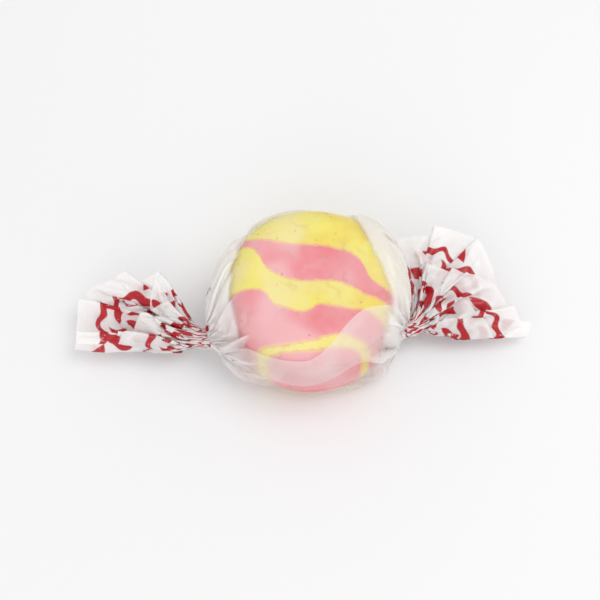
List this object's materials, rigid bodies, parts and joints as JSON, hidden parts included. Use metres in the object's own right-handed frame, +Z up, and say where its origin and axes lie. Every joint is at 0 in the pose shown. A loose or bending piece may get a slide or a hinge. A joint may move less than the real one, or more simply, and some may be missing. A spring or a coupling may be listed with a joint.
{
  "type": "wrapped taffy",
  "caption": "Thick striped disc of pulled candy lying flat in waxed paper, with the paper twisted shut at both ends into pleated fans.",
  "frame": {"origin": "middle of the disc's flat underside, where it rests", "axes": "+Z up out of the disc's upper face; X from twist to twist; +Y across the stripes, away from the picture's viewer"},
  "size_m": [0.0724, 0.0274, 0.0179],
  "materials": {
    "candy_yellow": "soft satin pulled sugar, lemon yellow",
    "candy_pink": "soft satin pulled sugar, rose pink",
    "wrapper": "thin waxed paper, milky and see-through, with a red print near its cut ends"
  },
  "bodies": {
    "root": {"candy_yellow_1": "candy_yellow", "candy_pink_1": "candy_pink", "candy_yellow_2": "candy_yellow", "candy_pink_2": "candy_pink", "candy_yellow_3": "candy_yellow", "candy_pink_3": "candy_pink", "wrapper": "wrapper"}
  },
  "joints": []
}
